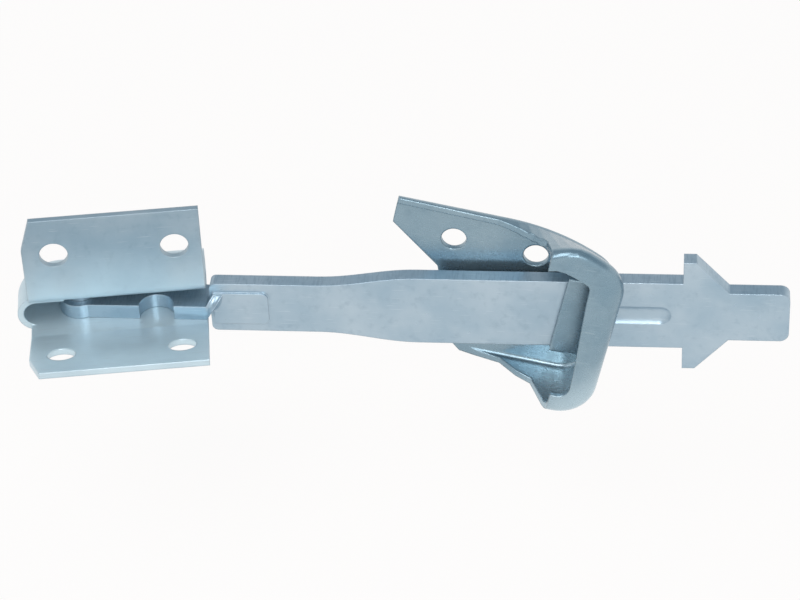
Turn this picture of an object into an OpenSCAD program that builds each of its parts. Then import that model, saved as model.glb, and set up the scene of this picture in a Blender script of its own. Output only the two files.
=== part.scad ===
// Door limiter strap: a steel strap that pivots in a folded pillar bracket and slides
// through a drawn guide bracket, with an arrow head as its end stop. Millimetres.
// Origin midway between the two bolt holes of the upright flange, on its front face.
// +X along the fold toward the arrow head, +Z up the pivot, -Y out of the mouth of the trough.

/* [Strap] */
// Thickness of the strap
strap_t = 5; // [4:0.5:7]
// Width of the tongue in the pillar bracket
tongue_w = 12; // [10:0.5:13]
// Radius of the round end of the tongue
eye_r = 6.8; // [6.6:0.1:8]
// Length of the quarter turn between tongue and bar
twist_len = 6; // [5:0.5:10]
// Gap between the end of the bracket and the quarter turn
twist_clear = 1; // [0.5:0.1:1.5]
// Gap between the end of the bracket and the start of the bar
bar_clear = 2; // [1.8:0.1:5]
// Width of the narrow bar and of the tail
narrow_w = 18.5; // [16:0.5:22]
// Width of the sliding bar
wide_w = 25.5; // [23:0.5:28]
// Start of the widening, from the pivot
widen_x0 = 77; // [70:1:85]
// End of the widening, from the pivot
widen_x1 = 109; // [95:1:112]
// Shoulder of the arrow head, from the pivot
head_x = 193; // [192:1:200]
// Span over the two barbs
barb_span = 42; // [38:0.5:46]
// Flat length at the barb tips
barb_flat = 4; // [3:0.5:6]
// Length of the slanted side of the head
head_slant = 10.5; // [8:0.5:14]
// Length of the plain tail
tail_len = 19; // [14:0.5:30]
// Corner radius of the tail
tail_r = 3; // [2:0.5:5]
// Corner radius where the bar starts
bar_r = 2; // [1.5:0.5:5]
// Depth of the long groove
groove_depth = 1.3; // [0.8:0.1:1.8]
// Half width of the long groove
groove_half = 3.5; // [3:0.1:4.5]
// Length of the long groove
groove_len = 32; // [25:1:45]
// Plain stretch between the groove and the arrow head
groove_land = 3.5; // [2:0.5:8]
// Length of the pad where the tongue runs into the bar
pad_len = 18.7; // [12:0.1:22]
// Rise of that pad above the face of the bar
pad_rise = 0.8; // [0.5:0.1:1.2]
// Corner radius of the pad
pad_r = 2; // [1:0.5:3]
// Radius of the notch in the front edge of the tongue
notch_r = 5.6; // [4:0.1:7]
// Depth of that notch
notch_depth = 6.2; // [2:0.1:7]
// Centre of that notch, from the pivot
notch_x = 25.5; // [18:0.5:28]

/* [Pillar bracket] */
// Sheet thickness of both brackets
sheet_t = 2; // [1.6:0.1:2.4]
// Swing of the strap against the bracket as it lies, degrees
rest_swing = 9.4; // [0:0.1:10]
// Left end of the flanges, from the pivot
flange_x0 = -16; // [-22:0.5:-14]
// Reach of the trough past the left end of the flanges
trough_reach = 4; // [2:0.5:6]
// Inner corner radius between the back and the left end of the trough, seen from above
end_r = 8; // [4:0.5:9]
// Right end of the bracket, from the pivot
bracket_x1 = 40.5; // [38:0.5:44]
// Free height inside the trough
trough_h = 8.5; // [7.5:0.1:11]
// Gap under and over the tongue
tongue_gap = 0.05; // [0.03:0.01:0.1]
// Gap between the round end of the tongue and the mouth
mouth_clear = 1.2; // [0.8:0.1:3]
// Straight depth of the trough behind the round end of the tongue
back_clear = 2.8; // [1.5:0.1:3.5]
// Width of the upright flange from the roof of the trough
upright_w = 31.3; // [28:0.1:38]
// Inner radius of the fold of the upright flange
fold_r = 2; // [1:0.5:2.5]
// Flat floor ahead of the mouth, before the lower flange rises
table_lead = 5.8; // [5:0.1:10]
// Rise of the lower flange, degrees
table_tilt = 15; // [0.5:0.5:20]
// Inner radius of the bend of the lower flange
table_bend = 5; // [2:0.5:10]
// Width of the lower flange from its bend
table_w = 28.4; // [26:0.1:36]
// Bolt hole diameter in the pillar bracket
pillar_hole_d = 9; // [7:0.5:11]
// Hole centre from the outer edge of its flange
pillar_hole_edge = 13.4; // [10:0.1:17]
// Hole centre from the left end of the flanges
pillar_hole_left = 10; // [8:0.5:12]
// Hole centre from the right end of the bracket
pillar_hole_right = 8.5; // [8:0.5:12]
// Slanted outer corner, along the fold
corner_along = 3.3; // [1:0.1:5]
// Slanted outer corner, across the flange
corner_across = 11; // [4:0.5:13]

/* [Pivot rivet] */
// Shank radius in the tongue and the lower wall
shank_r = 3; // [2.5:0.1:3.6]
// Radial running clearance of the tongue on the shank
pivot_clear = 0.05; // [0.03:0.01:0.09]
// Radius of the step that keeps the tongue down
step_r = 4.4; // [3.9:0.1:5]
// Radius of the domed heads
rivet_head_r = 5.6; // [5.2:0.1:6]
// Height of the domed heads
rivet_head_h = 2.2; // [1.6:0.1:3]

/* [Guide bracket] */
// Station of the slotted wall along the strap as it lies, from the pivot
guide_x = 168.7; // [155:0.1:172]
// Lean of the guide on the strap as it lies, degrees
guide_lean = 13; // [0:0.5:13.5]
// Top edge of the plate, above the strap line
plate_top = 24.2; // [22:0.1:27]
// Bottom edge of the hood, below the strap line
hood_drop = 32.5; // [30:0.5:35]
// Length of the plate left of the slotted wall
plate_len = 72; // [66:0.5:78]
// Outer face of the plate, behind the middle of the strap
plate_back = 7.4; // [7.2:0.1:10]
// Outer face of the lip, in front of the middle of the strap
lip_front = 18; // [15:0.5:21]
// Where the top of the hood starts to fall, from the slotted wall
crown_u = 37; // [34:0.5:45]
// Radius of that fall
crown_r = 72; // [64:1:90]
// Upper corner radius of the hood
hood_r = 13.5; // [13:0.5:16]
// Lower corner radius of the hood
low_r = 12; // [11:0.5:14]
// Rise of the top of the hood toward the lip, for each millimetre forward
flare = 0.66; // [0:0.02:0.8]
// Where that rise is complete, from the slotted wall
flare_u = 12; // [8:0.5:20]
// Outer bend radius between wall and lip
lip_bend = 5; // [4:0.5:6]
// Outer bend radius between plate and wall
edge_bend = 3.5; // [3:0.1:4]
// Reach of the lip from the outer face of the wall, at the upper corner
lip_reach = 11; // [8:0.1:12]
// The same at the lower corner
low_reach = 8.5; // [6.5:0.1:10]
// Play of the strap in the slot, up and down
slot_play = 1.1; // [0.8:0.1:2]
// Further room under the strap at the lower end of the slot
slot_room = 1.2; // [0.5:0.1:2]
// Upper ends of the flaps below the upper end of the slot
flap_inset = 2; // [1:0.1:4]
// Lower ends of the flaps past the lower end of the slot
flap_overrun = 1.2; // [0.5:0.1:1.5]
// Gap between the strap and the front flap
front_gap = 0.4; // [0.3:0.05:0.6]
// Gap between the strap and the rear flap
rear_gap = 0.4; // [0.3:0.05:0.6]
// Length of the front flap from the wall
front_flap = 14.5; // [10:0.1:17]
// Length of the rear flap from the wall
rear_flap = 13; // [9:0.1:17]
// Slanted upper corner of the flaps, along the strap
flap_slant = 7; // [4:0.5:9]
// Bolt hole diameter in the guide
guide_hole_d = 8; // [6:0.5:9]
// Distance between the two bolt holes of the guide
guide_hole_pitch = 26.5; // [22:0.5:30]
// Bolt hole nearest the slotted wall, from that wall
guide_hole_u = 25.5; // [24:0.5:30]
// Height of the bolt holes above the strap line
guide_hole_v = 11.6; // [10:0.1:14]
// Height at which the left end of the plate starts to slant
heel_v = 13.6; // [10:0.1:16]
// End of that slant, from the slotted wall
waist_u = 55; // [50:0.5:60]
// Foot of the left edge, from the slotted wall
foot_u = 44.4; // [40:0.1:48]
// Height of that foot above the bottom edge of the hood
foot_rise = 3; // [2:0.5:5]
// Height of the top wall at the left end, ahead of the plate
edge_rise = 1.8; // [0.5:0.1:2.4]
// End of its level stretch, from the slotted wall
ramp_u = 40; // [37:0.5:45]
// Height of the top wall there, ahead of the plate
ramp_rise = 2.5; // [2.5:0.1:4]
// Middle of its growth, from the slotted wall
bow_u = 34.4; // [33:0.1:36]
// Height of the top wall there, ahead of the plate
bow_rise = 4.4; // [3.5:0.1:6]
// Knee of the top wall, from the slotted wall
knee_u = 29; // [28:0.1:32]
// Height of the top wall at the knee, ahead of the plate
knee_rise = 7.6; // [6.5:0.1:10]
// Shoulder of the top wall beside the bolt hole, from the slotted wall
shoulder_u = 24.4; // [24:0.1:26]
// Height of the top wall at the shoulder, ahead of the plate
shoulder_rise = 12.4; // [11:0.1:16]
// Point where the top wall meets the lip, from the slotted wall
top_lip_u = 23.2; // [20:0.1:23.5]
// Start of the bottom wall, from the slotted wall
toe_u = 41; // [36:0.5:44]
// End of its slow growth, from the slotted wall
low_ramp_u = 28; // [26:0.5:33]
// Height of the bottom wall there, ahead of the plate
low_ramp_rise = 1.8; // [1:0.1:4]
// First knee of the bottom wall, from the slotted wall
low_knee_u = 22.5; // [20:0.5:26]
// Height of the bottom wall at the first knee, ahead of the plate
low_knee_rise = 6.6; // [5:0.1:8]
// Second knee of the bottom wall, from the slotted wall
low_step_u = 17.5; // [15:0.5:19]
// Height of the bottom wall at the second knee, ahead of the plate
low_step_rise = 9.2; // [8.5:0.1:12]
// Point where the bottom wall meets the lip, from the slotted wall
low_lip_u = 12; // [11:0.1:14]

/* [Hidden] */
$fn = 64;
NUDGE = 0.01;
FAR = 200;
WIDEN_STEPS = 14;
TWIST_SLICES = 24;
BEND_STEPS = 6;
EDGE_STEPS = 6;
RIM_STEPS = 12;
CROWN_STEPS = 10;
CORNER_STEPS = 12;
WALL_STEPS = 6;
bar_x = bracket_x1 + bar_clear;
twist_x = bracket_x1 + twist_clear;
head_x1 = head_x + barb_flat + head_slant;
tail_x = head_x1 + tail_len;
groove_x1 = head_x - groove_land;
groove_x0 = groove_x1 - groove_len;
groove_r = (groove_half * groove_half + groove_depth * groove_depth) / (2 * groove_depth);
groove_y = -strap_t / 2 - groove_r + groove_depth;
mouth_y = eye_r + mouth_clear;
back_y = eye_r + back_clear;
trough_x0 = flange_x0 - trough_reach;
floor_z = -strap_t / 2 - tongue_gap;
roof_z = floor_z + trough_h;
floor_under = floor_z - sheet_t;
roof_over = roof_z + sheet_t;
belly_r = trough_h / 2;
belly_z = (floor_z + roof_z) / 2;
end_x = trough_x0 + belly_r + sheet_t;
straight_x = end_x + end_r;
end_y = back_y - end_r;
flange_top = roof_over + upright_w;
bend_y = -mouth_y - table_lead;
hole_x0 = flange_x0 + pillar_hole_left;
hole_x1 = bracket_x1 - pillar_hole_right;
upright_hole_z = flange_top - pillar_hole_edge;
step_z = strap_t / 2 + tongue_gap;
pivot = [-(hole_x0 + hole_x1) / 2, mouth_y + sheet_t, -upright_hole_z];
plate_front = plate_back - sheet_t;
corner_u = sheet_t - hood_r;
crown_turn = asin((corner_u + crown_u) / (crown_r - hood_r));
crown_v = plate_top - crown_r;
corner_v = crown_v + (crown_r - hood_r) * cos(crown_turn);
lower_v = low_r - hood_drop;
foot_v = foot_rise - hood_drop;
slot_front = -strap_t / 2 - front_gap;
slot_rear = strap_t / 2 + rear_gap;
slot_half = wide_w / 2 / cos(guide_lean) + slot_play;
slot_top = slot_half + sheet_t * tan(guide_lean);
slot_bottom = -slot_half - slot_room;
flap_top = slot_top - flap_inset;
flap_bottom = slot_bottom - flap_overrun;

// Puts what is drawn about the pivot into the frame of the part
module on_pivot() {
    translate(pivot) children();
}

// Puts what is drawn along the strap into the frame of the part
module on_strap() {
    on_pivot() rotate([0, 0, -rest_swing]) children();
}

// A drawing in Y and Z, extruded from x0 to x1
module along_x(x0, x1) {
    translate([x0, 0, 0]) rotate([90, 0, 90]) linear_extrude(x1 - x0) children();
}

// A drawing in X and Z, extruded from y0 to y1
module along_y(y0, y1) {
    translate([0, y1, 0]) rotate([90, 0, 0]) linear_extrude(y1 - y0) children();
}

module ring(outer, inner) {
    difference() {
        circle(outer);
        circle(inner);
    }
}

module quarter_ring(outer, inner) {
    intersection() {
        ring(outer, inner);
        square(outer + 1);
    }
}

// Point on the bend of the lower flange at radius r, s from 0 at the floor to 1 at the flange
function bend_point(r, s) =
    [bend_y - r * sin(table_tilt * s), floor_z + table_bend - r * cos(table_tilt * s)];

// Round back of the trough, bulging toward +X
module belly() {
    intersection() {
        ring(belly_r + sheet_t, belly_r);
        translate([0, -FAR / 2]) square(FAR);
    }
}

// Roof and floor of the trough over a length, as they stand about the middle of its height
module roof_and_floor(length) {
    translate([0, belly_r]) square([length, sheet_t]);
    translate([0, -belly_r - sheet_t]) square([length, sheet_t]);
}

// Folded section of the pillar bracket: lower flange, floor, round back, roof, fold, upright flange
module bracket_section() {
    slope = table_w * [-cos(table_tilt), sin(table_tilt)];
    top = [for (i = [0:BEND_STEPS]) bend_point(table_bend, i / BEND_STEPS)];
    under = [for (i = [BEND_STEPS:-1:0]) bend_point(table_bend + sheet_t, i / BEND_STEPS)];
    polygon(concat([[back_y, floor_z]], top, [top[BEND_STEPS] + slope], [under[0] + slope], under,
        [[back_y, floor_under]]));
    translate([back_y, belly_z]) belly();
    translate([fold_r - mouth_y, roof_z]) square([back_y + mouth_y - fold_r, sheet_t]);
    translate([fold_r - mouth_y, roof_over + fold_r]) rotate(180) quarter_ring(fold_r + sheet_t, fold_r);
    translate([-mouth_y - sheet_t, roof_over + fold_r]) square([sheet_t, upright_w - fold_r]);
}

// A slanted corner to cut off the end of a flange, with the corner at the origin
module slanted_corner() {
    polygon([[-1, 1], [corner_along, 1], [corner_along, 0], [0, -corner_across], [-1, -corner_across]]);
}

// Puts what is drawn on the lower flange, from its bend and its under side, into the bracket
module on_table() {
    translate([0, bend_y, floor_z + table_bend]) rotate([-table_tilt, 0, 0])
        translate([0, 0, -table_bend - sheet_t]) children();
}

// Closed left end of the trough: the round back runs round a corner and forward to the mouth
module trough_end() {
    translate([straight_x, end_y, belly_z]) rotate([0, 0, 90]) rotate_extrude(angle = 90) {
        roof_and_floor(end_r);
        translate([end_r, 0]) belly();
    }
    translate([end_x, 0, belly_z]) along_y(-mouth_y, end_y) {
        roof_and_floor(end_r + 1);
        mirror([1, 0]) belly();
    }
}

// The flanges alone, with the start of the roof and the floor
module flange_section() {
    intersection() {
        bracket_section();
        translate([fold_r + 1 - mouth_y - FAR, -FAR / 2]) square(FAR);
    }
}

module pillar_bracket() {
    color([0.72, 0.77, 0.81]) on_pivot() difference() {
        union() {
            along_x(straight_x, bracket_x1) bracket_section();
            along_x(flange_x0, straight_x + 1) flange_section();
            trough_end();
        }
        // slanted outer corners
        translate([flange_x0, 0, flange_top]) along_y(-FAR, FAR) slanted_corner();
        on_table() translate([flange_x0, -table_w, -1]) linear_extrude(sheet_t + 2)
            mirror([0, 1]) slanted_corner();
        for (hx = [hole_x0, hole_x1]) {
            translate([hx, 1 - mouth_y, upright_hole_z]) rotate([90, 0, 0])
                cylinder(d = pillar_hole_d, h = sheet_t + 2);
            on_table() translate([hx, pillar_hole_edge - table_w, -1])
                cylinder(d = pillar_hole_d, h = sheet_t + 2);
        }
        // seats of the rivet
        translate([0, 0, floor_under - 1]) cylinder(r = shank_r, h = sheet_t + 2);
        translate([0, 0, roof_z - 1]) cylinder(r = step_r, h = sheet_t + 2);
    }
}

module rivet_dome() {
    dome_r = (rivet_head_r * rivet_head_r + rivet_head_h * rivet_head_h) / (2 * rivet_head_h);
    intersection() {
        translate([0, 0, rivet_head_h - dome_r]) sphere(dome_r);
        cylinder(r = rivet_head_r, h = rivet_head_h + 1);
    }
}

// Stepped rivet: the step keeps the tongue on the floor of the trough
module pivot_rivet() {
    color([0.68, 0.72, 0.76]) on_pivot() {
        translate([0, 0, floor_under]) cylinder(r = shank_r, h = step_z - floor_under);
        translate([0, 0, step_z]) cylinder(r = step_r, h = roof_over - step_z);
        translate([0, 0, roof_over]) rivet_dome();
        translate([0, 0, floor_under]) mirror([0, 0, 1]) rivet_dome();
    }
}

// Half width of the bar along its widening, s from 0 to 1
function widening(s) = narrow_w / 2 + (wide_w - narrow_w) / 4 * (1 - cos(180 * s));

// Outline of the bar and the arrow head in X and Z
module bar_outline() {
    barb = barb_span / 2;
    upper = concat(
        [[bar_x + bar_r, narrow_w / 2]],
        [for (i = [0:WIDEN_STEPS])
            [widen_x0 + (widen_x1 - widen_x0) * i / WIDEN_STEPS, widening(i / WIDEN_STEPS)]],
        [[head_x, wide_w / 2], [head_x, barb], [head_x + barb_flat, barb],
         [head_x1, narrow_w / 2], [tail_x - tail_r, narrow_w / 2]]);
    lower = [for (i = [len(upper) - 1:-1:0]) [upper[i][0], -upper[i][1]]];
    polygon(concat(upper, lower));
    rounded_end(bar_x + bar_r, -1, narrow_w, bar_r);
    rounded_end(tail_x - tail_r, 1, narrow_w, tail_r);
}

// End of a bar of width w with round corners, reaching from x by r to the side given
module rounded_end(x, side, w, r) {
    for (turn = [-1, 1]) translate([x, turn * (w / 2 - r)]) circle(r);
    translate([side > 0 ? x - NUDGE : x - r, r - w / 2]) square([r + NUDGE, w - 2 * r]);
}

module strap() {
    color([0.70, 0.76, 0.80]) on_strap() difference() {
        union() {
            along_y(-strap_t / 2, strap_t / 2) bar_outline();
            // raised pad where the tongue runs into the bar
            along_y(-strap_t / 2 - pad_rise, 0) {
                translate([bar_x + 1, -tongue_w / 2]) square([pad_len - pad_r - 1, tongue_w]);
                rounded_end(bar_x + pad_len - pad_r, 1, tongue_w, pad_r);
            }
            // quarter turn between the flat tongue and the upright bar
            translate([twist_x, 0, 0]) rotate([90, 0, 90])
                linear_extrude(height = twist_len, twist = 90, slices = TWIST_SLICES)
                    square([tongue_w, strap_t], center = true);
            // tongue with its round end
            translate([0, 0, -strap_t / 2]) linear_extrude(strap_t) {
                circle(eye_r);
                translate([0, -tongue_w / 2]) square([twist_x + NUDGE, tongue_w]);
            }
        }
        translate([0, 0, -strap_t]) cylinder(r = shank_r + pivot_clear, h = 2 * strap_t);
        translate([notch_x, notch_depth - notch_r - tongue_w / 2, -strap_t]) cylinder(r = notch_r, h = 2 * strap_t);
        // long pressed groove with round ends
        translate([groove_x0 + groove_half, groove_y, 0]) rotate([0, 90, 0])
            cylinder(r = groove_r, h = groove_len - 2 * groove_half);
        for (gx = [groove_x0 + groove_half, groove_x1 - groove_half])
            translate([gx, groove_y, 0]) sphere(groove_r);
    }
}

function spaced(a, b, steps) = [for (i = [0:steps]) a + (b - a) * i / steps];

function smooth(s) = let (t = max(0, min(1, s))) t * t * (3 - 2 * t);

// Section of the drawn sheet: bent edge of the plate, wall, bend and lip, each point as
// its distance in from the outer face of the wall and its depth y
function hood_section(reach) =
    let (back = [edge_bend, plate_back - edge_bend], rim = [lip_bend, lip_bend - lip_front])
    concat(
        [for (a = spaced(90, 180, EDGE_STEPS)) back + edge_bend * [cos(a), sin(a)]],
        [for (a = spaced(180, 270, RIM_STEPS)) rim + lip_bend * [cos(a), sin(a)]],
        [[reach, -lip_front], [reach, sheet_t - lip_front]],
        [for (a = spaced(270, 180, RIM_STEPS)) rim + (lip_bend - sheet_t) * [cos(a), sin(a)]],
        [for (a = spaced(180, 90, EDGE_STEPS)) back + (edge_bend - sheet_t) * [cos(a), sin(a)]]);

// Station on an arc of the outer edge, with the direction of its outward side
function on_arc(u, v, r, a) = [u + r * cos(a), v + r * sin(a), a];

// Outer edge of the hood at the plate, from the top left end round to the toe
hood_edge = concat(
    [[-plate_len, plate_top, 90]],
    [for (a = spaced(90, 90 - crown_turn, CROWN_STEPS)) on_arc(-crown_u, crown_v, crown_r, a)],
    [for (i = [1:CORNER_STEPS]) on_arc(corner_u, corner_v, hood_r, (90 - crown_turn) * (1 - i / CORNER_STEPS))],
    [for (i = [1:WALL_STEPS - 1]) [sheet_t, corner_v + (lower_v - corner_v) * i / WALL_STEPS, 0]],
    [for (a = spaced(0, -90, CORNER_STEPS)) on_arc(sheet_t - low_r, lower_v, low_r, a)],
    [[-foot_u, -hood_drop, -90]]);

// Share of the way from the lower corner up the slotted wall, 1 all along the top
function up_wall(p) = p[2] > 0 ? 1 : p[2] < 0 ? 0 : smooth((p[1] - lower_v) / (corner_v - lower_v));

// Rise of the hood at a station, for each millimetre forward of the plate
function rise_at(p) = flare * up_wall(p) * smooth((p[0] + crown_u) / (crown_u - flare_u));

// Reach of the lip at a station
function reach_at(p) = low_reach + (lip_reach - low_reach) * up_wall(p) * smooth((p[0] + top_lip_u) / (top_lip_u - flare_u));

// Drawn sheet: the section swept along the outer edge, flaring upward toward the lip, with the
// flat plate filling the inside of the edge
module drawn_sheet() {
    rings = [for (p = hood_edge) [for (q = hood_section(reach_at(p)))
        [p[0] - q[0] * cos(p[2]), q[1],
         p[1] - q[0] * sin(p[2]) + rise_at(p) * max(0, plate_back - edge_bend - q[1])]]];
    n = len(rings[0]);
    last = len(rings) - 1;
    back_foot = n * (last + 1);
    front_foot = back_foot + 1;
    back_mid = back_foot + 2;
    front_mid = back_foot + 3;
    foot = [for (y = [plate_back, plate_front]) [-plate_len, y, edge_bend - hood_drop]];
    middle = [for (y = [plate_back, plate_front]) [-plate_len / 2, y, 0]];
    polyhedron(
        points = concat([for (ring_points = rings) each ring_points], foot, middle),
        faces = concat(
            [for (i = [0:last - 1], j = [0:n - 2]) [i * n + j, (i + 1) * n + j + 1, i * n + j + 1]],
            [for (i = [0:last - 1], j = [0:n - 2]) [i * n + j, (i + 1) * n + j, (i + 1) * n + j + 1]],
            [for (i = [0:last - 1]) [(i + 1) * n, i * n, back_mid]],
            [[0, back_foot, back_mid], [back_foot, last * n, back_mid]],
            [for (i = [0:last - 1]) [i * n + n - 1, (i + 1) * n + n - 1, front_mid]],
            [[last * n + n - 1, front_foot, front_mid], [front_foot, n - 1, front_mid]],
            [for (j = [0:n / 2 - 2]) [j, j + 1, n - 2 - j, n - 1 - j]],
            [for (j = [0:n / 2 - 2]) [for (k = [n - 1 - j, n - 2 - j, j + 1, j]) last * n + k]],
            [[back_foot, 0, n - 1, front_foot]],
            [[last * n, back_foot, front_foot, last * n + n - 1]]));
}

// A flap bent in from the slot, of the given length, with its outer face at y
module slot_flap(length, y) {
    along_y(y, y + sheet_t) polygon([[-length, flap_bottom], [sheet_t / 2, flap_bottom], [sheet_t / 2, corner_v],
        [-flap_slant, flap_top], [-length, flap_top]]);
}

// Everything in front of the edge of the top wall
module ahead_of_top_edge() {
    polygon([[-plate_len - 1, plate_front - edge_rise], [-ramp_u, plate_front - ramp_rise],
        [-bow_u, plate_front - bow_rise], [-knee_u, plate_front - knee_rise],
        [-shoulder_u, plate_front - shoulder_rise], [-top_lip_u, sheet_t - lip_front], [-top_lip_u, -FAR],
        [-plate_len - 1, -FAR]]);
}

// Everything in front of the edge of the bottom wall
module ahead_of_bottom_edge() {
    polygon([[-plate_len - 1, plate_front], [-toe_u, plate_front], [-low_ramp_u, plate_front - low_ramp_rise],
        [-low_knee_u, plate_front - low_knee_rise], [-low_step_u, plate_front - low_step_rise],
        [-low_lip_u, sheet_t - lip_front], [-low_lip_u, -FAR], [-plate_len - 1, -FAR]]);
}

// What lies left of the plate
module left_of_plate() {
    polygon([[-plate_len - 1, heel_v], [-plate_len, heel_v], [-waist_u, 0], [-foot_u, foot_v], [-toe_u, -hood_drop],
        [-toe_u, -hood_drop - 1], [-plate_len - 1, -hood_drop - 1]]);
}

module guide_bracket() {
    color([0.70, 0.75, 0.79]) on_strap() translate([guide_x, 0, 0]) rotate([0, guide_lean, 0]) difference() {
        union() {
            drawn_sheet();
            slot_flap(front_flap, slot_front - sheet_t);
            slot_flap(rear_flap, slot_rear);
        }
        along_y(-FAR, FAR) left_of_plate();
        translate([0, 0, corner_v]) linear_extrude(FAR) ahead_of_top_edge();
        translate([0, 0, lower_v - FAR]) linear_extrude(FAR) ahead_of_bottom_edge();
        translate([corner_u, slot_front, slot_bottom])
            cube([sheet_t - corner_u + 1, slot_rear - slot_front, slot_top - slot_bottom]);
        for (hu = [guide_hole_u, guide_hole_u + guide_hole_pitch])
            translate([-hu, plate_back + 1, guide_hole_v]) rotate([90, 0, 0])
                cylinder(d = guide_hole_d, h = sheet_t + 2);
    }
}

pillar_bracket();
pivot_rivet();
strap();
guide_bracket();
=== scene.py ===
"""Door limiter strap: zinc-plated pillar bracket, strap and hooded guide on a pale studio floor."""
import math

import bmesh
import bpy
from mathutils import Matrix, Vector


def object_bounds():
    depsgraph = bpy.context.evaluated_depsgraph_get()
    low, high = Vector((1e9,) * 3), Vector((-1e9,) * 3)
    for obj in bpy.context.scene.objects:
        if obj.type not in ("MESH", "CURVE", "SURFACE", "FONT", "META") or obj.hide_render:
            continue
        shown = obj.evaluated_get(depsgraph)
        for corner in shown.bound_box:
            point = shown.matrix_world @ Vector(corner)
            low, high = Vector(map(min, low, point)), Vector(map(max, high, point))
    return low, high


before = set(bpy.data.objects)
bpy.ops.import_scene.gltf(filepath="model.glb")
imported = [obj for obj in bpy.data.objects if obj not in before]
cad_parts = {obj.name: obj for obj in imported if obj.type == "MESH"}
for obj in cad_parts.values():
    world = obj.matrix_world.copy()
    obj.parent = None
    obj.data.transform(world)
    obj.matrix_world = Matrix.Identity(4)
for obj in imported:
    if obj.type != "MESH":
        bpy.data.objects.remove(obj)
cad_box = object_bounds()

MM = 0.001

# how the strap and the guide lie at rest
REST_SWING = math.radians(9.4)
GUIDE_LEAN = math.radians(13.0)
UNTURNED = (0.0, 0.0, 0.0)
STRAP_TURN = (0.0, 0.0, REST_SWING)
GUIDE_TURN = (0.0, -GUIDE_LEAN, REST_SWING)
STRAP_FACE = (math.sin(REST_SWING), math.cos(REST_SWING), 0.0)

# viewpoint of the photograph
VIEW_AZIMUTH = math.radians(2.94)
VIEW_ELEVATION = math.radians(37.68)
VIEW_ROLL = math.radians(-2.83)
VIEW_TARGET = Vector((89.72, 10.0, -36.53)) * MM
VIEW_DISTANCE = 1.0
FOCAL_PIXELS = 3072.6
IMAGE_WIDTH = 800
SENSOR_WIDTH = 36.0
NEAREST_SEEN = 0.01
FARTHEST_SEEN = 50.0

# floor and background
FLOOR_DROP = 45 * MM
FLOOR_SIZE = 12.0
FLOOR_WHITE = (0.86, 0.86, 0.86, 1.0)
BACKGROUND_WHITE = (1.0, 0.99, 0.985, 1.0)
BACKGROUND_SHARE = 0.94
SKY_HIGH = (0.34, 0.41, 0.47, 1.0)
SKY_GREYS_FROM = 0.12
SKY_GREY_BY = 0.6

# light that isn't mirrored, and the two softboxes
ROOM_COLOUR = (0.9, 0.95, 1.0, 1.0)
ROOM_STRENGTH = 0.45
KEY_PLACE = (-0.35, -0.3, 1.2)
KEY_SIZE = 0.9
KEY_WATTS = 7.0
FRONT_PLACE = (0.2, -1.15, 0.72)
FRONT_SIZE = 0.55
FRONT_WATTS = 5.0

# blue-white zinc plate
ZINC_PALE = (0.46, 0.56, 0.63, 1.0)
ZINC_BLUE = (0.32, 0.44, 0.53, 1.0)
ZINC_DULL = (0.24, 0.34, 0.42, 1.0)
ZINC_EDGE = (0.62, 0.70, 0.75, 1.0)
# colour of the painted reflection and painted light near a fold
ZINC_PAINTED_SHEEN = (0.72, 0.87, 0.93, 1.0)

# sizes of the marks in the plate, in millimetres
CLOUD_MM = 22.0
HAZE_MM = 3.2
SPECK_MM = 0.7
GRAIN_MM = 0.9
SCUFF_MM = 0.35
TEAR_MM = 0.55
PIT_SPACING_MM = 6.25
BUMP_DEPTH_MM = 0.06
BUMP_STRENGTH = 0.16
ALONG_THE_SHEET = (0.05, 1.0, 1.0)
ACROSS_THE_EDGE = (1.0, 0.12, 0.12)
EDGE_SAMPLES = 8

# how strongly each mark colours the plate
HAZE_SHARE = 0.35
SCUFF_SHARE = 0.4
PIT_SHARE = 0.15
TEAR_SHARE = 0.4

# each piece's finish: roughness, share of metal, scale of the tint, and width of the worn edge
BRACKET_FINISH = {"roughness": 0.33, "metal": 0.45, "shade": (0.84, 0.86, 0.86), "edge_mm": 0.6}
RIVET_FINISH = {"roughness": 0.36, "metal": 0.6, "shade": (0.9, 0.9, 0.9), "edge_mm": 0.3}
STRAP_FINISH = {"roughness": 0.32, "metal": 0.82, "shade": (1.06, 1.06, 1.06), "edge_mm": 0.5}
GUIDE_FINISH = {"roughness": 0.28, "metal": 0.72, "shade": (0.64, 0.72, 0.74), "edge_mm": 1.0}

# painted reflection and painted light: the bracket is painted paler down towards its fold, the guide paler
# in its bowl
# paler plate at a fold, painted: the direction away from it, where it is palest and where it ends, in
# millimetres
BRACKET_PAINTED_SHEEN = ((0.0, 0.0, 1.0), -24.0, 4.0)
GUIDE_PAINTED_SHEEN = ((-0.8, 0.0, 1.0), -172.0, -148.0)


class Level:
    """A socket that carries one number and takes part in Python sums."""

    def __init__(self, finish, socket):
        self.finish = finish
        self.socket = socket

    def _math(self, operation, *terms):
        made = self.finish.node("ShaderNodeMath", {"operation": operation}, dict(enumerate(terms)))
        return Level(self.finish, made.outputs[0])

    def __add__(self, other):
        return self._math("ADD", self, other)

    __radd__ = __add__

    def __sub__(self, other):
        return self._math("SUBTRACT", self, other)

    def __rsub__(self, other):
        return self._math("SUBTRACT", other, self)

    def __mul__(self, other):
        return self._math("MULTIPLY", self, other)

    __rmul__ = __mul__

    def __abs__(self):
        return self._math("ABSOLUTE", self)

    def highest(self, other):
        return self._math("MAXIMUM", self, other)

    def ramp(self, low, high):
        """A smooth step from 0 at low to 1 at high."""
        made = self.finish.node("ShaderNodeMapRange", {"interpolation_type": "SMOOTHSTEP"},
                                {"Value": self, "From Min": low, "From Max": high})
        return Level(self.finish, made.outputs["Result"])


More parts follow.
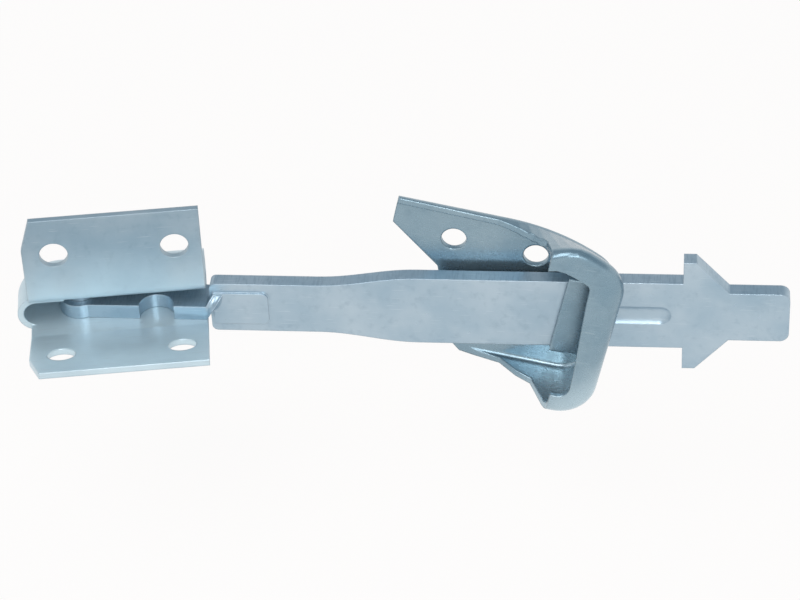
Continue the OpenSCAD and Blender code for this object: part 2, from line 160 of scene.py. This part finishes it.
class Finish:
    """A node tree and the one way its nodes are made."""

    def __init__(self, tree):
        self.tree = tree
        tree.nodes.clear()

    def node(self, kind, settings=None, inputs=None):
        made = self.tree.nodes.new(kind)
        for key, value in (settings or {}).items():
            setattr(made, key, value)
        for key, value in (inputs or {}).items():
            if isinstance(value, Level):
                value = value.socket
            if isinstance(value, bpy.types.NodeSocket):
                self.tree.links.new(value, made.inputs[key])
            else:
                made.inputs[key].default_value = value
        return made

    def level(self, made, output):
        return Level(self, made.outputs[output])

    def dot(self, first, second):
        """How far two directions agree, or how far a place lies along a direction."""
        made = self.node("ShaderNodeVectorMath", {"operation": "DOT_PRODUCT"}, {0: first, 1: second})
        return self.level(made, "Value")

    def blend(self, share, first, second):
        """Colour that goes from first to second with the share."""
        made = self.node("ShaderNodeMix", {"data_type": "RGBA"}, {0: share, 6: first, 7: second})
        return made.outputs[2]

    def object_mm(self, turn=UNTURNED, stretch=(1.0, 1.0, 1.0)):
        """Object coordinates in millimetres, turned and then stretched."""
        place = self.node("ShaderNodeTexCoord")
        scale = [value / MM for value in stretch]
        turned = self.node("ShaderNodeMapping", {"vector_type": "POINT"},
                           {"Vector": place.outputs["Object"], "Rotation": turn})
        grown = self.node("ShaderNodeVectorMath", {"operation": "MULTIPLY"},
                          {0: turned.outputs["Vector"], 1: scale})
        return grown.outputs["Vector"]

    def noise(self, where, size, detail, roughness):
        made = self.node("ShaderNodeTexNoise", {"noise_dimensions": "3D"},
                         {"Vector": where, "Scale": 1.0 / size, "Detail": detail, "Roughness": roughness})
        return self.level(made, 0)

    def facing(self, direction):
        """How far the surface faces along a direction fixed to the piece, from -1 to 1."""
        place = self.node("ShaderNodeTexCoord")
        return self.dot(place.outputs["Normal"], direction)


def shaded(colour, shade):
    """A colour with each of its channels scaled."""
    return tuple(channel * part for channel, part in zip(colour, shade)) + (1.0,)


def zinc_plate(name, turn, finish, flat_side=None, painted_sheen=None):
    """Blue-white zinc plate: cloudy tint, rolling grain, pits, bright worn edges, and, where given, painted
    reflection and painted light towards a fold.
    """
    pale = shaded(ZINC_PALE, finish["shade"])
    blue = shaded(ZINC_BLUE, finish["shade"])
    dull = shaded(ZINC_DULL, finish["shade"])
    worn = shaded(ZINC_EDGE, finish["shade"])
    material = bpy.data.materials.new(name)
    material.use_nodes = True
    f = Finish(material.node_tree)

    where = f.object_mm(turn)
    along = f.object_mm(turn, ALONG_THE_SHEET)
    cloud = f.noise(where, CLOUD_MM, 3.0, 0.55)
    haze = f.noise(where, HAZE_MM, 3.0, 0.6)
    speck = f.noise(where, SPECK_MM, 2.0, 0.6)
    grain = f.noise(along, GRAIN_MM, 3.0, 0.65)
    scuff = f.noise(along, SCUFF_MM, 1.0, 0.4).ramp(0.66, 0.74)

    # a few of the cells hold a shallow pit at their middle
    cells = f.node("ShaderNodeTexVoronoi", {"feature": "F1"},
                   {"Vector": where, "Scale": 1.0 / PIT_SPACING_MM})
    pick = f.node("ShaderNodeSeparateColor", None, {"Color": cells.outputs["Color"]})
    chosen = f.level(pick, "Red").ramp(0.72, 0.76)
    pit = (1.0 - f.level(cells, "Distance").ramp(0.06, 0.14)) * chosen

    # an edge is where the rounded normal leaves the true one
    bevel = f.node("ShaderNodeBevel", {"samples": EDGE_SAMPLES}, {"Radius": finish["edge_mm"] * MM})
    surface = f.node("ShaderNodeNewGeometry")
    agree = f.dot(bevel.outputs["Normal"], surface.outputs["Normal"])
    edge = (1.0 - agree).ramp(0.01, 0.22)

    tint = f.blend(cloud.ramp(0.22, 0.78), blue, pale)
    tint = f.blend(haze.ramp(0.5, 0.8) * HAZE_SHARE, tint, dull)
    # painted reflection and painted light: the plate is painted paler towards a fold, fading out where the
    # plate turns plain
    if painted_sheen:
        away, pale_mm, plain_mm = painted_sheen
        painted_sheen_share = 1.0 - f.dot(f.object_mm(), away).ramp(pale_mm, plain_mm)
        tint = f.blend(painted_sheen_share * (0.5 + 0.45 * cloud), tint, ZINC_PAINTED_SHEEN)
    tint = f.blend(scuff * SCUFF_SHARE, tint, worn)
    tint = f.blend(pit * PIT_SHARE, tint, dull)
    tint = f.blend(edge * (0.15 + 0.35 * speck), tint, worn)

    rough = finish["roughness"] + 0.16 * (haze - 0.5) + 0.10 * (grain - 0.5) + 0.12 * pit
    height = 0.5 * grain + 0.35 * haze + 0.12 * speck - 0.6 * pit
    if flat_side:
        # the sheared edge of the bar is duller, with tear marks across it
        sheared = 1.0 - abs(f.facing(flat_side)).ramp(0.25, 0.6)
        tear = f.noise(f.object_mm(turn, ACROSS_THE_EDGE), TEAR_MM, 2.0, 0.6)
        tint = f.blend(sheared * tear.ramp(0.45, 0.7) * TEAR_SHARE, tint, dull)
        rough = rough + 0.08 * sheared
        height = height + 0.4 * sheared * tear

    bump = f.node("ShaderNodeBump", None,
                  {"Strength": BUMP_STRENGTH, "Distance": BUMP_DEPTH_MM * MM,
                   "Height": height, "Normal": bevel.outputs["Normal"]})
    shader = f.node("ShaderNodeBsdfPrincipled", None,
                    {"Base Color": tint, "Metallic": finish["metal"],
                     "Roughness": rough, "Normal": bump.outputs["Normal"]})
    f.node("ShaderNodeOutputMaterial", None, {"Surface": shader.outputs["BSDF"]})
    return material


def dress(node, material):
    """Give every slot of a carried-over solid the material."""
    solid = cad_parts[node]
    if not solid.material_slots:
        solid.data.materials.append(material)
    for slot in solid.material_slots:
        slot.material = material


def seen_share(f, share):
    """The share of a background that straight, mirrored and refracted rays see."""
    path = f.node("ShaderNodeLightPath")
    seen = f.level(path, "Is Camera Ray").highest(f.level(path, "Is Glossy Ray"))
    return seen.highest(f.level(path, "Is Transmission Ray")) * share


def pale_floor():
    """Large white floor that glows to the camera and still takes the shadow."""
    low, high = cad_box
    middle = Vector(((low[0] + high[0]) / 2, (low[1] + high[1]) / 2, low[2] - FLOOR_DROP))
    mesh = bpy.data.meshes.new("floor")
    shape = bmesh.new()
    bmesh.ops.create_grid(shape, x_segments=1, y_segments=1, size=FLOOR_SIZE / 2,
                          matrix=Matrix.Translation(middle))
    shape.to_mesh(mesh)
    shape.free()
    floor = bpy.data.objects.new("floor", mesh)
    bpy.context.scene.collection.objects.link(floor)

    material = bpy.data.materials.new("floor_white")
    material.use_nodes = True
    f = Finish(material.node_tree)
    matt = f.node("ShaderNodeBsdfDiffuse", None, {"Color": FLOOR_WHITE})
    glow = f.node("ShaderNodeEmission", None, {"Color": BACKGROUND_WHITE, "Strength": 1.0})
    both = f.node("ShaderNodeMixShader", None,
                  {0: seen_share(f, BACKGROUND_SHARE), 1: matt.outputs["BSDF"], 2: glow.outputs["Emission"]})
    f.node("ShaderNodeOutputMaterial", None, {"Surface": both.outputs["Shader"]})
    mesh.materials.append(material)


def studio_world():
    """White round the horizon and greyer overhead, with a soft grey room for what isn't mirrored."""
    world = bpy.data.worlds.new("studio")
    world.use_nodes = True
    f = Finish(world.node_tree)
    way = f.node("ShaderNodeSeparateXYZ", None, {0: f.node("ShaderNodeTexCoord").outputs["Generated"]})
    overhead = f.level(way, "Z").ramp(SKY_GREYS_FROM, SKY_GREY_BY)
    sky = f.blend(overhead, BACKGROUND_WHITE, SKY_HIGH)
    white = f.node("ShaderNodeBackground", None, {"Color": sky, "Strength": 1.0})
    room = f.node("ShaderNodeBackground", None, {"Color": ROOM_COLOUR, "Strength": ROOM_STRENGTH})
    both = f.node("ShaderNodeMixShader", None,
                  {0: seen_share(f, 1.0), 1: room.outputs["Background"], 2: white.outputs["Background"]})
    f.node("ShaderNodeOutputWorld", None, {"Surface": both.outputs["Shader"]})
    bpy.context.scene.world = world


def softbox(name, place, size, watts):
    """Square area lamp at a place, turned to the middle of the view."""
    lamp = bpy.data.lights.new(name, "AREA")
    lamp.shape = "SQUARE"
    lamp.size = size
    lamp.energy = watts
    holder = bpy.data.objects.new(name, lamp)
    holder.location = place
    holder.rotation_euler = (VIEW_TARGET - Vector(place)).to_track_quat("-Z", "Y").to_euler()
    bpy.context.scene.collection.objects.link(holder)


def photo_camera():
    """Camera at the photograph's viewpoint, framed for an 800 by 600 image."""
    across = math.cos(VIEW_ELEVATION)
    forward = Vector((math.sin(VIEW_AZIMUTH) * across,
                      math.cos(VIEW_AZIMUTH) * across,
                      -math.sin(VIEW_ELEVATION)))
    level = Vector((math.cos(VIEW_AZIMUTH), -math.sin(VIEW_AZIMUTH), 0.0))
    upward = level.cross(forward)
    right = level * math.cos(VIEW_ROLL) + upward * math.sin(VIEW_ROLL)
    up = upward * math.cos(VIEW_ROLL) - level * math.sin(VIEW_ROLL)
    turn = Matrix((right, up, -forward)).transposed().to_4x4()

    lens = bpy.data.cameras.new("photo")
    lens.sensor_fit = "HORIZONTAL"
    lens.sensor_width = SENSOR_WIDTH
    lens.lens = FOCAL_PIXELS / IMAGE_WIDTH * SENSOR_WIDTH
    lens.clip_start = NEAREST_SEEN
    lens.clip_end = FARTHEST_SEEN
    camera = bpy.data.objects.new("photo", lens)
    camera.matrix_world = Matrix.Translation(VIEW_TARGET - forward * VIEW_DISTANCE) @ turn
    bpy.context.scene.collection.objects.link(camera)
    bpy.context.scene.camera = camera


photo_camera()
studio_world()
pale_floor()
softbox("key", KEY_PLACE, KEY_SIZE, KEY_WATTS)
softbox("front", FRONT_PLACE, FRONT_SIZE, FRONT_WATTS)
bpy.context.scene.view_settings.view_transform = "Standard"

dress("pillar_bracket", zinc_plate("bracket_zinc", UNTURNED, BRACKET_FINISH, painted_sheen=BRACKET_PAINTED_SHEEN))
dress("pivot_rivet", zinc_plate("rivet_zinc", UNTURNED, RIVET_FINISH))
dress("strap", zinc_plate("strap_zinc", STRAP_TURN, STRAP_FINISH, flat_side=STRAP_FACE))
dress("guide_bracket", zinc_plate("guide_zinc", GUIDE_TURN, GUIDE_FINISH, painted_sheen=GUIDE_PAINTED_SHEEN))
